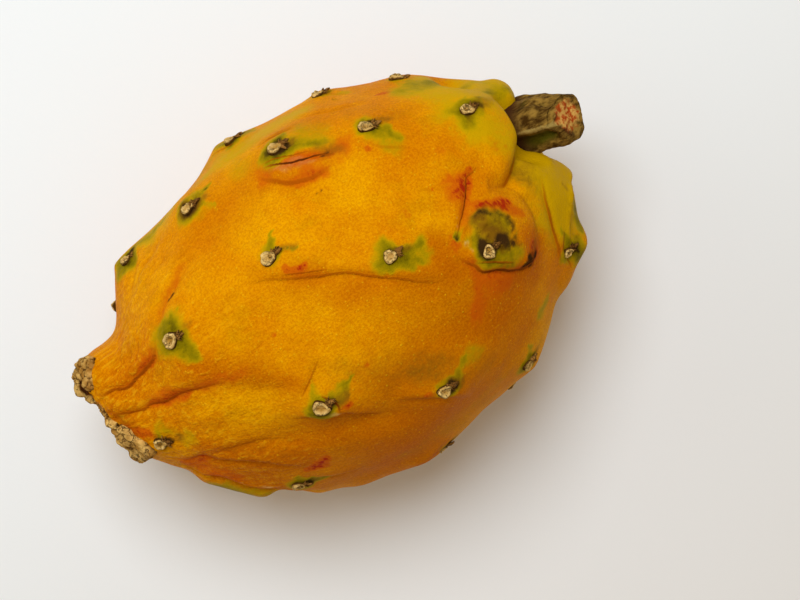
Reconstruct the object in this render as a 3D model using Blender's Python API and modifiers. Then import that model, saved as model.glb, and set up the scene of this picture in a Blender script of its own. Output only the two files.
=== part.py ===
"""A yellow dragon fruit (pitahaya) lying on its side, as picked.

The fruit is one solid body of skin and flesh. Its cut stem sits in a pit between the lobes of
one end, and the dry, corky remnant of the flower sits on the other.

Frame: +X runs from the flower end to the stem end, +Z is up, and the origin is the centre of
the flat spot that the fruit rests on. Sizes below are in millimetres.
"""

import math

import bmesh
import bpy
import numpy as np
from mathutils import Matrix, Vector

MM = 0.001

# Overall sizes of the skin, before its tubercles
BODY_LENGTH = 94.0  # from the flower end's rim to the lobes round the stem
BODY_WIDTH = 64.0
BODY_HEIGHT = 60.0
BOW = 4.5  # how far the axis bends towards +Y at each end
REST_DEPTH = 1.2  # how much of the underside is pressed flat

# Tubercles, the low points of the skin that each carry a spine cushion
TUBERCLE_HEIGHT = 2.6
TUBERCLE_WIDTH = 6.5  # from the point to where it has sunk to a third, around the fruit
STEM_SIDE_LENGTH = 9.0  # the same towards the stem, where the slope is long
FLOWER_SIDE_LENGTH = 5.0  # the same towards the flower end, where it is steep
TUBERCLE_SHARPNESS = 1.4  # power of the slope: 1 is a cone, 2 is a round hill

# Stem
STEM_ROOT = Vector((-1.6, 6.1, 0.7))  # centre of its lower end, from the floor of the pit
STEM_LENGTH = 18.8
STEM_WIDTH = 10.4  # across its foot
STEM_TAPER = 0.2  # how much narrower the cut end is, as a share of the foot
STEM_CORNERS = 0.08  # how far its section goes from round towards a triangle
STEM_TURN = -22.0  # degrees from +X, seen from above
STEM_RISE = 20.0  # degrees above the horizontal
STEM_ROUNDING = 0.7  # radius of the edge of the cut

# Dry remnant of the flower, a crust over the rim of the flower end
REMNANT_REACH = 0.11  # how far it goes over the rim, as a share of the way along the skin
REMNANT_SCALLOP = 0.2  # how much that share changes between its four lobes
REMNANT_THICKNESS = 2.2
REMNANT_LUMPS = 0.25  # how much the thickness changes from lump to lump

CLEARANCE = 0.4  # between pieces that touch

# Facets of the solids
BODY_AROUND, BODY_ALONG = 66, 50
BODY_CROWDING = 0.45  # how much closer together its rings are at the two ends
REMNANT_AROUND, REMNANT_ALONG = 66, 20
STEM_AROUND, STEM_RINGS = 20, 7

# Outline of the skin along its four sides, from the flower end's pole to the stem's: shares of
# half the length along X, and of half the width or height out from the axis.
OUTLINES = {
    "top": [
        (-0.92, 0.00), (-0.98, 0.22), (-0.95, 0.36), (-0.80, 0.52), (-0.62, 0.72), (-0.36, 0.90),
        (-0.04, 1.00), (0.28, 0.97), (0.56, 0.84), (0.78, 0.62), (0.89, 0.38), (0.87, 0.18),
        (0.80, 0.00),
    ],
    "left": [
        (-0.92, 0.00), (-1.00, 0.26), (-0.94, 0.34), (-0.80, 0.41), (-0.64, 0.62), (-0.38, 0.85),
        (-0.06, 0.97), (0.25, 0.96), (0.56, 0.78), (0.80, 0.53), (0.96, 0.30), (0.93, 0.14),
        (0.80, 0.00),
    ],
    "under": [
        (-0.92, 0.00), (-0.99, 0.26), (-0.93, 0.40), (-0.80, 0.54), (-0.62, 0.74), (-0.36, 0.91),
        (-0.02, 1.00), (0.30, 0.98), (0.58, 0.84), (0.82, 0.60), (0.96, 0.36), (0.92, 0.16),
        (0.80, 0.00),
    ],
    "right": [
        (-0.92, 0.00), (-0.99, 0.25), (-0.94, 0.36), (-0.82, 0.54), (-0.64, 0.76), (-0.36, 0.95),
        (-0.04, 1.03), (0.28, 1.00), (0.58, 0.86), (0.82, 0.60), (0.96, 0.36), (0.93, 0.16),
        (0.80, 0.00),
    ],
}

# Where the tubercles of the upper half are: share of the way along the skin from the flower
# end's pole to the stem's, angle from the top towards +Y in degrees, share of the full height.
UPPER_TUBERCLES = [
    (0.10, 45, 0.6), (0.15, -38, 0.5), (0.27, 80, 1.7), (0.29, 18, 0.8), (0.30, -86, 0.9),
    (0.40, 59, 1.0), (0.41, -30, 1.0), (0.46, 19, 0.7), (0.47, 85, 1.2), (0.48, -88, 0.7),
    (0.53, 52, 1.0), (0.53, -50, 1.1), (0.58, -2, 0.7), (0.61, 83, 0.7), (0.63, -85, 0.9),
    (0.64, 41, 0.8), (0.68, -22, 0.9), (0.72, 80, 0.6), (0.79, 31, 0.9), (0.79, -76, 1.1),
]

# The underside carries them in rows across the fruit, each row a half step on from the last.
UNDERSIDE_ROWS = 5
UNDERSIDE_PER_ROW = 4
UNDERSIDE_START = (0.22, 112)  # the first one, as above
UNDERSIDE_STEP = (0.125, 40)  # from row to row along the skin, and within a row around it


def tubercles():
    """Place and height share of every tubercle, above and below."""
    under = [
        (
            UNDERSIDE_START[0] + UNDERSIDE_STEP[0] * row,
            UNDERSIDE_START[1] + UNDERSIDE_STEP[1] * (k + 0.5 * (row % 2)),
            1.0,
        )
        for row in range(UNDERSIDE_ROWS)
        for k in range(UNDERSIDE_PER_ROW)
    ]
    return UPPER_TUBERCLES + under


def smooth_line(points, steps=24):
    """A Catmull-Rom curve through the points."""
    p = np.array(points, float)
    p = np.vstack([2 * p[0] - p[1], p, 2 * p[-1] - p[-2]])
    t = np.linspace(0, 1, steps, endpoint=False)[:, None]
    spans = []
    for a, b, c, d in zip(p, p[1:], p[2:], p[3:]):
        curve = (c - a) * t + (2 * a - 5 * b + 4 * c - d) * t**2 + (3 * b - a - 3 * c + d) * t**3
        spans.append(b + 0.5 * curve)
    return np.vstack(spans + [p[-2:-1]])


def outline_at(name, along):
    """Axial and radial shares on one side, at these shares of the way along its outline."""
    line = smooth_line(OUTLINES[name])
    travelled = np.concatenate([[0], np.cumsum(np.hypot(*np.diff(line, axis=0).T))])
    travelled /= travelled[-1]
    return np.array([np.interp(along, travelled, line[:, k]) for k in (0, 1)])


def smooth_skin(along, angle):
    """Points of the skin without tubercles. angle is in radians, from the top towards +Y."""
    up, left = np.cos(angle), np.sin(angle)
    shares = {
        "top": np.where(up > 0, up**2, 0),
        "under": np.where(up < 0, up**2, 0),
        "left": np.where(left > 0, left**2, 0),
        "right": np.where(left < 0, left**2, 0),
    }
    axial, radial = sum(shares[name] * outline_at(name, along) for name in OUTLINES)
    x = axial * BODY_LENGTH / 2
    y = radial * left * BODY_WIDTH / 2 + BOW * axial**2
    z = radial * up * BODY_HEIGHT / 2 + BODY_HEIGHT / 2 - REST_DEPTH
    return np.stack([x, y, z], axis=-1)


def unit(v):
    return v / np.linalg.norm(v, axis=-1, keepdims=True)


def skin_frame(along, angle):
    """The smooth skin's point with its unit directions towards the stem, around, and out."""
    small = 1e-3
    along = np.clip(along, 2 * small, 1 - 2 * small)
    to_stem = unit(smooth_skin(along + small, angle) - smooth_skin(along - small, angle))
    around = unit(smooth_skin(along, angle + small) - smooth_skin(along, angle - small))
    return smooth_skin(along, angle), to_stem, around, unit(np.cross(to_stem, around))


def tubercle_rise(point, along, angle, share):
    """How far one tubercle lifts these points of the skin."""
    centre, to_stem, around, out = skin_frame(along, math.radians(angle))
    away = point - centre
    ahead = away @ to_stem
    length = np.where(ahead > 0, STEM_SIDE_LENGTH, FLOWER_SIDE_LENGTH)
    distance = np.sqrt(
        (ahead / length) ** 2 + (away @ around / TUBERCLE_WIDTH) ** 2 + (away @ out / TUBERCLE_WIDTH) ** 2
    )
    return share * TUBERCLE_HEIGHT * np.exp(-(distance**TUBERCLE_SHARPNESS))


def skin(along, angle, offset=0.0):
    """Points of the skin with its tubercles and its flat spot, moved out by an offset."""
    out = skin_frame(along, angle)[3]
    smooth = smooth_skin(along, angle)
    rise = sum(tubercle_rise(smooth, *place) for place in tubercles())
    point = smooth + out * (rise + offset)[..., None]
    point[..., 2] = np.maximum(point[..., 2], 0)
    return point


def material(name, colour, roughness):
    made = bpy.data.materials.new(name)
    made.use_nodes = True
    shader = made.node_tree.nodes["Principled BSDF"]
    shader.inputs["Base Color"].default_value = (*colour, 1)
    shader.inputs["Roughness"].default_value = roughness
    shader.inputs["Metallic"].default_value = 0.0
    return made


def new_object(name, bm, collection, surface):
    """A smooth-shaded object from a bmesh in millimetres."""
    bmesh.ops.recalc_face_normals(bm, faces=bm.faces)
    bmesh.ops.scale(bm, verts=bm.verts, vec=(MM, MM, MM))
    for face in bm.faces:
        face.smooth = True
    mesh = bpy.data.meshes.new(name)
    bm.to_mesh(mesh)
    bm.free()
    mesh.materials.append(surface)
    made = bpy.data.objects.new(name, mesh)
    collection.objects.link(made)
    return made


def ball(around, along):
    """A UV sphere with its poles on X, and each vertex's polar share and angle from the top."""
    bm = bmesh.new()
    bmesh.ops.create_uvsphere(bm, u_segments=around, v_segments=along, radius=1)
    bmesh.ops.rotate(bm, verts=bm.verts, matrix=Matrix.Rotation(math.pi / 2, 3, "Y"))
    place = np.array([v.co for v in bm.verts])
    polar = np.arccos(np.clip(-place[:, 0], -1, 1)) / math.pi
    angle = np.arctan2(place[:, 1], place[:, 2])
    return bm, polar, angle


def move_vertices(bm, points):
    for vertex, point in zip(bm.verts, points):
        vertex.co = point


def make_body(collection, surface):
    bm, polar, angle = ball(BODY_AROUND, BODY_ALONG)
    along = polar - BODY_CROWDING * np.sin(2 * math.pi * polar) / (2 * math.pi)
    move_vertices(bm, skin(along, angle))
    return new_object("fruit_body", bm, collection, surface)


def make_remnant(collection, surface):
    """A lumpy crust: its inner half lies along the skin, its outer half rises off it."""
    bm, polar, angle = ball(REMNANT_AROUND, REMNANT_ALONG)
    across = np.sin(polar * math.pi)
    outer = np.maximum(np.cos(polar * math.pi), 0)
    reach = REMNANT_REACH * (1 - REMNANT_SCALLOP * np.cos(4 * angle))
    lumps = 1 + REMNANT_LUMPS * np.sin(8 * angle + 3) * across
    offset = CLEARANCE + REMNANT_THICKNESS * outer * lumps
    move_vertices(bm, skin(reach * across, angle, offset))
    return new_object("flower_remnant", bm, collection, surface)


def make_stem(name, collection, surface, margin=0.0):
    """The stem, or with a margin the room it needs in the body."""
    bm = bmesh.new()
    bmesh.ops.create_cone(bm, cap_ends=True, segments=STEM_AROUND, radius1=1, radius2=1, depth=1)
    sides = [e for e in bm.edges if abs(e.verts[0].co.z - e.verts[1].co.z) > 0.5]
    bmesh.ops.subdivide_edges(bm, edges=sides, cuts=STEM_RINGS, use_grid_fill=True)
    for vertex in bm.verts:
        share = vertex.co.z + 0.5
        angle = math.atan2(vertex.co.y, vertex.co.x)
        radius = STEM_WIDTH / 2 * (1 - STEM_TAPER * share**4 + STEM_CORNERS * math.cos(3 * angle))
        radius += margin
        along = STEM_LENGTH * share + margin * (2 * share - 1)
        vertex.co = (along, radius * math.sin(angle), radius * math.cos(angle))
    turn = Matrix.Rotation(math.radians(STEM_TURN), 3, "Z")
    rise = Matrix.Rotation(math.radians(-STEM_RISE), 3, "Y")
    bmesh.ops.transform(bm, matrix=(turn @ rise).to_4x4(), verts=bm.verts)
    pit_floor = Vector(smooth_skin(np.array(1.0), np.array(0.0)))
    bmesh.ops.translate(bm, verts=bm.verts, vec=pit_floor + STEM_ROOT)
    made = new_object(name, bm, collection, surface)
    edge = made.modifiers.new("edge_of_the_cut", "BEVEL")
    edge.width = STEM_ROUNDING * MM
    edge.segments = 2
    edge.limit_method = "ANGLE"
    edge.angle_limit = math.radians(60)
    return made


def make_seat(body, room):
    """Sink the seat of the stem into the body."""
    cut = body.modifiers.new("stem_seat", "BOOLEAN")
    cut.operation = "DIFFERENCE"
    cut.solver = "EXACT"
    cut.object = room
    room.hide_render = True
    room.display_type = "WIRE"


def build():
    for old in list(bpy.data.objects):
        bpy.data.objects.remove(old, do_unlink=True)
    fruit = bpy.data.collections.new("dragon_fruit")
    cutters = bpy.data.collections.new("cutters")
    bpy.context.scene.collection.children.link(fruit)
    bpy.context.scene.collection.children.link(cutters)

    skin_colour = material("fruit_skin", (0.80, 0.36, 0.01), 0.45)
    bark = material("stem_bark", (0.16, 0.13, 0.05), 0.85)
    cork = material("dry_flower", (0.40, 0.27, 0.13), 0.9)

    body = make_body(fruit, skin_colour)
    make_remnant(fruit, cork)
    make_stem("stem", fruit, bark)
    room = make_stem("stem_room", cutters, bark, CLEARANCE)
    make_seat(body, room)


build()
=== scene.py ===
"""A yellow dragon fruit (pitahaya) lying on its side on a pale floor.

The skin is one closed surface with tubercles, folds and creases. Corky spine cushions with dry
scales sit on the tubercles, a barky stem stands in the pit of one end, and a corky crust is
left of the flower at the other. Shapes are worked out in millimetres.
"""

import math
import re

import bpy
import numpy as np
from mathutils import Matrix, Vector


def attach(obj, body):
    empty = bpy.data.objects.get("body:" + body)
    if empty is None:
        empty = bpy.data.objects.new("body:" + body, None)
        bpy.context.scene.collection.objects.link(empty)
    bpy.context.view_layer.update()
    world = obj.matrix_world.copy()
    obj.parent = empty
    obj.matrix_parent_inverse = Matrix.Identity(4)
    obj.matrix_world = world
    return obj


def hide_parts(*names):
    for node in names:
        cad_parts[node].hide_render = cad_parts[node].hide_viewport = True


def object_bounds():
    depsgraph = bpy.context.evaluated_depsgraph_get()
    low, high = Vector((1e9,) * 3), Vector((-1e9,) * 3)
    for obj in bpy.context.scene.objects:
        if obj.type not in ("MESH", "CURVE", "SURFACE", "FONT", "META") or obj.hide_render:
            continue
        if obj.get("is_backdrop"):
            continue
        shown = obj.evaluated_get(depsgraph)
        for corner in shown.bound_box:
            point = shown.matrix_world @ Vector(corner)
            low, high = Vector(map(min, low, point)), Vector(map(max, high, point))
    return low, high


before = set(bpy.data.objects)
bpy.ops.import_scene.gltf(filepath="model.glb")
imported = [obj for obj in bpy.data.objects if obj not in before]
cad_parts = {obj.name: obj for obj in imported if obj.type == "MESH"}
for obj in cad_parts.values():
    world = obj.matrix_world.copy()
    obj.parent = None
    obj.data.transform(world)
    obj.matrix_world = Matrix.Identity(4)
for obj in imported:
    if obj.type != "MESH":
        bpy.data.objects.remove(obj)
cad_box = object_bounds()

MM = 0.001
rng = np.random.default_rng(7)

# ------------------------------------ the skin's form, as in the CAD

BODY_LENGTH, BODY_WIDTH, BODY_HEIGHT = 94.0, 64.0, 60.0
BOW = 4.5
REST_DEPTH = 1.2
TUBERCLE_HEIGHT, TUBERCLE_WIDTH = 2.6, 6.5
STEM_SIDE_LENGTH, FLOWER_SIDE_LENGTH = 9.0, 5.0
TUBERCLE_SHARPNESS = 1.4

OUTLINES = {
    "top": [
        (-0.92, 0), (-0.98, 0.22), (-0.95, 0.36), (-0.8, 0.52), (-0.62, 0.72), (-0.36, 0.9), (-0.04, 1),
        (0.28, 0.97), (0.56, 0.84), (0.78, 0.62), (0.89, 0.38), (0.87, 0.18), (0.8, 0),
    ],
    "left": [
        (-0.92, 0), (-1, 0.26), (-0.94, 0.34), (-0.8, 0.41), (-0.64, 0.62), (-0.38, 0.85), (-0.06, 0.97),
        (0.25, 0.96), (0.56, 0.78), (0.8, 0.53), (0.96, 0.3), (0.93, 0.14), (0.8, 0),
    ],
    "under": [
        (-0.92, 0), (-0.99, 0.26), (-0.93, 0.4), (-0.8, 0.54), (-0.62, 0.74), (-0.36, 0.91), (-0.02, 1),
        (0.3, 0.98), (0.58, 0.84), (0.82, 0.6), (0.96, 0.36), (0.92, 0.16), (0.8, 0),
    ],
    "right": [
        (-0.92, 0), (-0.99, 0.25), (-0.94, 0.36), (-0.82, 0.54), (-0.64, 0.76), (-0.36, 0.95),
        (-0.04, 1.03), (0.28, 1), (0.58, 0.86), (0.82, 0.6), (0.96, 0.36), (0.93, 0.16), (0.8, 0),
    ],
}

UPPER_TUBERCLES = [
    (0.1, 45, 0.6), (0.15, -38, 0.5), (0.27, 80, 1.7), (0.29, 18, 0.8), (0.3, -86, 0.9), (0.4, 59, 1),
    (0.41, -30, 1), (0.46, 19, 0.7), (0.47, 85, 1.2), (0.48, -88, 0.7), (0.53, 52, 1), (0.53, -50, 1.1),
    (0.58, -2, 0.7), (0.61, 83, 0.7), (0.63, -85, 0.9), (0.64, 41, 0.8), (0.68, -22, 0.9), (0.72, 80, 0.6),
    (0.79, 31, 0.9), (0.79, -76, 1.1),
]
UNDER_TUBERCLES = [
    (0.22 + 0.125 * row, 112 + 40 * (k + 0.5 * (row % 2)), 1.0)
    for row in range(5) for k in range(4)
]


def smooth_line(points, steps=24):
    """A Catmull-Rom curve through the points."""
    p = np.array(points, float)
    p = np.vstack([2 * p[0] - p[1], p, 2 * p[-1] - p[-2]])
    t = np.linspace(0, 1, steps, endpoint=False)[:, None]
    spans = []
    for a, b, c, d in zip(p, p[1:], p[2:], p[3:]):
        curve = (c - a) * t + (2 * a - 5 * b + 4 * c - d) * t**2 + (3 * b - a - 3 * c + d) * t**3
        spans.append(b + 0.5 * curve)
    return np.vstack(spans + [p[-2:-1]])


def measured(line):
    """The line with the share of its length travelled at each point."""
    travelled = np.concatenate([[0], np.cumsum(np.hypot(*np.diff(line, axis=0).T))])
    return travelled / travelled[-1], line


MEASURED = {name: measured(smooth_line(points)) for name, points in OUTLINES.items()}


def outline_at(name, along):
    travelled, line = MEASURED[name]
    return np.array([np.interp(along, travelled, line[:, k]) for k in (0, 1)])


def smooth_skin(along, angle):
    """The skin without tubercles. angle is in radians, from the top towards +Y."""
    up, left = np.cos(angle), np.sin(angle)
    shares = {
        "top": np.where(up > 0, up**2, 0),
        "under": np.where(up < 0, up**2, 0),
        "left": np.where(left > 0, left**2, 0),
        "right": np.where(left < 0, left**2, 0),
    }
    axial, radial = sum(shares[name] * outline_at(name, along) for name in OUTLINES)
    x = axial * BODY_LENGTH / 2
    y = radial * left * BODY_WIDTH / 2 + BOW * axial**2
    z = radial * up * BODY_HEIGHT / 2 + BODY_HEIGHT / 2 - REST_DEPTH
    return np.stack([x, y, z], axis=-1)


def unit(v):
    return v / np.maximum(np.linalg.norm(v, axis=-1, keepdims=True), 1e-12)


def skin_frame(along, angle):
    """The smooth skin's point with its unit directions towards the stem, around, and out."""
    small = 1e-3
    along = np.clip(along, 2 * small, 1 - 2 * small)
    to_stem = unit(smooth_skin(along + small, angle) - smooth_skin(along - small, angle))
    around = unit(smooth_skin(along, angle + small) - smooth_skin(along, angle - small))
    return smooth_skin(along, angle), to_stem, around, unit(np.cross(to_stem, around))


TUBERCLES = [
    (skin_frame(along, math.radians(angle)), share)
    for along, angle, share in UPPER_TUBERCLES + UNDER_TUBERCLES
]


def tubercle_rise(point, place, share):
    centre, to_stem, around, out = place
    away = point - centre
    ahead = away @ to_stem
    length = np.where(ahead > 0, STEM_SIDE_LENGTH, FLOWER_SIDE_LENGTH)
    aside, off = away @ around / TUBERCLE_WIDTH, away @ out / TUBERCLE_WIDTH
    distance = np.sqrt((ahead / length) ** 2 + aside**2 + off**2)
    return share * TUBERCLE_HEIGHT * np.exp(-(distance**TUBERCLE_SHARPNESS))


def bumpy_skin(along, angle, offset=0.0):
    """The skin with its tubercles, moved out by an offset, and its outward direction."""
    out = skin_frame(along, angle)[3]
    smooth = smooth_skin(along, angle)
    rise = sum(tubercle_rise(smooth, *place) for place in TUBERCLES)
    return smooth + out * (rise + offset)[..., None], out


# ------------------------------------ helpers for points and meshes


def noise(points, size, seed=0):
    """Smooth value noise from -1 to 1, with lumps about this size in millimetres."""
    p = points / size + 101.3 * (seed + 1)
    cell = np.floor(p).astype(np.int64)
    f = p - cell
    f = f * f * (3 - 2 * f)
    total = 0
    for dx, dy, dz in np.ndindex(2, 2, 2):
        c = cell + (dx, dy, dz)
        h = (c[..., 0] * 73856093) ^ (c[..., 1] * 19349663) ^ (c[..., 2] * 83492791)
        h = (h ^ (h >> 13)) * 1274126177
        value = ((h ^ (h >> 16)) & 0xFFFF) / 32767.5 - 1
        w = (f[..., 0] if dx else 1 - f[..., 0]) * (f[..., 1] if dy else 1 - f[..., 1])
        total = total + value * w * (f[..., 2] if dz else 1 - f[..., 2])
    return total


def bell(x):
    return np.exp(-(x**2))


def step(x, low, high):
    t = np.clip((x - low) / (high - low), 0, 1)
    return t * t * (3 - 2 * t)


def near_path(points, path, normals=None):
    """Distance to a path, share of the way along it, and +1 on its left or -1 on its right."""
    path = np.array(path, float)
    lengths = np.linalg.norm(np.diff(path, axis=0), axis=1)
    start = np.concatenate([[0], np.cumsum(lengths)])
    best = np.full(len(points), np.inf)
    share = np.zeros(len(points))
    side = np.ones(len(points))
    for k, length in enumerate(lengths):
        along = (path[k + 1] - path[k]) / max(length, 1e-9)
        away = points - path[k]
        t = np.clip(away @ along, 0, length)
        gap = away - t[:, None] * along
        distance = np.linalg.norm(gap, axis=1)
        closer = distance < best
        best = np.where(closer, distance, best)
        share = np.where(closer, (start[k] + t) / max(start[-1], 1e-9), share)
        if normals is not None:
            left = np.einsum("ij,ij->i", np.cross(along, gap), normals)
            side = np.where(closer, np.where(left >= 0, 1, -1), side)
    return best, share, side


def rows_of(text, width):
    """The rows of numbers in a text."""
    return np.reshape([float(word) for word in text.split()], (-1, width))


def grid_faces(rows, columns):
    """Faces of a sheet of rows that closes round on itself, with a pole at each end."""
    quads = []
    for i in range(rows - 1):
        a, b = 1 + i * columns, 1 + (i + 1) * columns
        for j in range(columns):
            k = (j + 1) % columns
            quads.append((a + j, a + k, b + k, b + j))
    last = 1 + rows * columns
    base = 1 + (rows - 1) * columns
    start = [(0, 1 + (j + 1) % columns, 1 + j) for j in range(columns)]
    end = [(last, base + j, base + (j + 1) % columns) for j in range(columns)]
    return start + quads + end


def polar_grid(rings, around):
    """Share of the radius and angle of each point of a disc, as grid_faces wants them."""
    ring = np.repeat(np.linspace(1 / rings, 1, rings), around)
    angle = np.tile(np.linspace(0, 2 * math.pi, around, endpoint=False), rings)
    return np.concatenate([[0], ring, [1]]), np.concatenate([[0], angle, [0]])


def new_piece(name, points, faces, material, attributes, node=None):
    """A smooth-shaded mesh object from points in millimetres, riding on the root."""
    mesh = bpy.data.meshes.new(name)
    mesh.from_pydata((np.asarray(points) * MM).tolist(), [], faces)
    mesh.polygons.foreach_set("use_smooth", np.ones(len(mesh.polygons), bool))
    for key, values in attributes.items():
        layer = mesh.attributes.new(key, "FLOAT", "POINT")
        layer.data.foreach_set("value", np.asarray(values, np.float32))
    mesh.validate()
    made = bpy.data.objects.new(name, mesh)
    bpy.context.scene.collection.objects.link(made)
    mesh.materials.append(material)
    if node:
        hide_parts(node)
    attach(made, "root")


# ------------------------------------ materials


class Nodes:
    """Short ways to add and link nodes of one material."""

    def __init__(self, name):
        self.material = bpy.data.materials.new(name)
        self.material.use_nodes = True
        self.tree = self.material.node_tree
        self.shader = self.tree.nodes["Principled BSDF"]

    def put(self, socket, value):
        """Link a socket to another one's output, or set its own value."""
        if isinstance(value, bpy.types.NodeSocket):
            self.tree.links.new(value, socket)
        elif hasattr(socket.default_value, "__len__") and len(socket.default_value) == 4:
            socket.default_value = (*value, 1)
        else:
            socket.default_value = value

    def set(self, **inputs):
        for key, value in inputs.items():
            self.put(self.shader.inputs[key.replace("_", " ")], value)
        return self.material

    def add(self, kind, inputs, output=0, **settings):
        node = self.tree.nodes.new("ShaderNode" + kind)
        for key, value in settings.items():
            setattr(node, key, value)
        for key, value in inputs.items():
            self.put(node.inputs[key], value)
        return node.outputs[output]

    def attribute(self, name):
        return self.add("Attribute", {}, "Fac", attribute_name=name)

    def place(self, stretch=None):
        place = self.add("TexCoord", {}, "Object")
        return self.add("Mapping", {"Vector": place, "Scale": stretch}) if stretch else place

    def noise(self, size_mm, detail=3, roughness=0.55, stretch=None):
        inputs = {"Scale": 1 / (size_mm * MM), "Detail": detail, "Roughness": roughness}
        return self.add("TexNoise", {"Vector": self.place(stretch), **inputs}, "Fac")

    def warped(self, size_mm, reach_mm):
        """The place, pushed about by a noise, so that straight edges come out crooked."""
        push = self.add("TexNoise", {"Vector": self.place(), "Scale": 1 / (size_mm * MM)}, "Color")
        reach = (2 * reach_mm * MM,) * 3
        return self.add("VectorMath", {0: push, 1: reach, 2: self.place()}, operation="MULTIPLY_ADD")

    def cells(self, size_mm, place, feature="F1"):
        inputs = {"Vector": place, "Scale": 1 / (size_mm * MM)}
        return self.add("TexVoronoi", inputs, "Distance", feature=feature)

    def math(self, operation, a, b=0.5):
        return self.add("Math", {0: a, 1: b}, operation=operation)

    def times(self, a, b):
        return self.math("MULTIPLY", a, b)

    def plus(self, a, b):
        return self.math("ADD", a, b)

    def swing(self, value, size, middle=0.5):
        """How far a value is from the middle of its range, times a size."""
        return self.times(self.math("SUBTRACT", value, middle), size)

    def remap(self, value, low, high, to_low=0.0, to_high=1.0):
        inputs = dict(enumerate((value, low, high, to_low, to_high)))
        return self.add("MapRange", inputs, "Result", interpolation_type="SMOOTHSTEP")

    def mix(self, factor, a, b, blend="MIX"):
        return self.add("Mix", {0: factor, 6: a, 7: b}, 2, data_type="RGBA", blend_type=blend)

    def bump(self, height, distance_mm, strength=1.0, under=None):
        inputs = {"Height": height, "Distance": distance_mm * MM, "Strength": strength}
        if under is not None:
            inputs["Normal"] = under
        return self.add("Bump", inputs, "Normal")


def skin_material():
    """Waxy yellow-orange rind: broad drifts of hue, fine pores, coloured marks and dark crease lines, with
    painted shade in creases, valleys, pits and round the cushions, and painted light on the strands.
    """
    n = Nodes("dragon_fruit_rind")
    mottle = n.noise(3.2, 4, 0.6)
    grain = n.noise(0.9, 3, 0.6)

    colour = n.mix(n.remap(n.noise(16), 0.32, 0.7), (0.73, 0.242, 0), (0.85, 0.385, 0))
    olive = n.times(n.remap(n.noise(6.5, 4, 0.6), 0.5, 0.72), 0.34)
    colour = n.mix(olive, colour, (0.56, 0.3, 0))
    # Darker orange: partly the skin's own deeper orange, mostly painted shade in creases, valleys and on
    # the shaded near side
    colour = n.mix(n.remap(n.attribute("warm"), 0, 1), colour, (0.58, 0.145, 0))
    colour = n.mix(n.times(n.remap(mottle, 0.35, 0.75), 0.3), colour, (0.6, 0.18, 0))

    speck = n.remap(n.cells(0.75, n.place()), 0.12, 0.34, 1, 0)
    speck = n.times(speck, n.remap(grain, 0.4, 0.7))
    colour = n.mix(n.times(speck, 0.6), colour, (0.94, 0.55, 0.01))
    pebble = n.noise(0.42, 3, 0.75)
    # Painted shade in the pits of the pebbling, where the same noise sinks the bump
    dim = n.remap(pebble, 0.36, 0.62, 0.85, 0)
    colour = n.mix(dim, colour, (0.79, 0.65, 0.35), "MULTIPLY")
    # Fine strands that run out of the flower end: painted shade in their grooves and painted light on
    # their ridges, from the noise that also bumps them
    strand = n.swing(n.noise(0.75, 2, 0.6, (0.09, 1, 1)), n.attribute("strands"))
    dim = n.remap(strand, 0, -0.14, 0, 0.6)
    colour = n.mix(dim, colour, (0.84, 0.68, 0.4), "MULTIPLY")
    colour = n.mix(n.remap(strand, 0.02, 0.16, 0, 0.3), colour, (0.92, 0.5, 0.01))

    # Stains, each broken up at its edge by the mottle; red, brown and dark also hold painted shade, along
    # creases, in valleys and round the cushions
    edge = n.plus(n.swing(mottle, 0.9), n.swing(grain, 0.9))
    streaky = n.swing(n.noise(0.7, 3, 0.7, (1, 0.5, 1)), 3.2, 0.56)

    for kind, tint, low, high, most, broken in (
        ("lime", (0.58, 0.345, 0.001), 0.12, 0.75, 0.9, edge),
        ("red", (0.58, 0.095, 0.002), 0.1, 0.5, 0.75, edge),
        ("red", (0.37, 0.014, 0.003), 0.4, 1, 0.92, streaky),
        ("green", (0.48, 0.31, 0.001), 0.04, 0.45, 0.9, edge),
        ("green", (0.235, 0.175, 0.001), 0.22, 0.8, 0.94, edge),
        ("green", (0.1, 0.07, 0.001), 0.7, 1.1, 0.85, edge),
        ("brown", (0.23, 0.095, 0.004), 0.1, 0.8, 0.92, edge),
        ("dark", (0.04, 0.017, 0.005), 0.12, 0.75, 0.95, edge),
        ("pale", (0.8, 0.5, 0.16), 0.12, 0.75, 0.8, edge),
    ):
        amount = n.attribute(kind)
        amount = n.remap(n.plus(amount, n.times(broken, amount)), low, high, 0, most)
        colour = n.mix(amount, colour, tint)

    # Dark lines along the creases, from the distance to the nearest crease in each group: partly the
    # creases' own reddish colour, partly painted shade in the grooves
    wobble = n.swing(n.noise(1.3, 2), 0.3)
    lines = []
    for group in LINE_GROUPS:
        distance = n.math("ABSOLUTE", n.plus(n.attribute(f"line_{group}"), wobble))
        across = n.math("DIVIDE", distance, n.attribute(f"line_{group}_width"))
        line = n.remap(across, 0.25, 1.25, 1, 0)
        lines.append(n.times(line, n.attribute(f"line_{group}_dark")))
    lines = n.math("MAXIMUM", *lines)
    colour = n.mix(n.remap(lines, 0, 0.55, 0, 0.75), colour, (0.4, 0.085, 0.001))
    colour = n.mix(n.remap(lines, 0.4, 1, 0, 0.95), colour, (0.085, 0.014, 0.002))

    relief = n.bump(n.plus(n.times(pebble, 0.9), n.times(speck, 0.4)), 0.16)
    relief = n.bump(mottle, 0.35, 0.5, relief)
    relief = n.bump(strand, 0.6, 0.6, relief)
    relief = n.bump(lines, -0.3, 0.8, relief)
    rough = n.plus(n.remap(n.attribute("dark"), 0, 0.8, 0.4, 0.75), n.times(grain, 0.12))
    n.set(Specular_IOR_Level=0.012, Specular_Tint=(1, 0.78, 0.35))
    return n.set(Base_Color=colour, Normal=relief, Roughness=rough)


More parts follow.
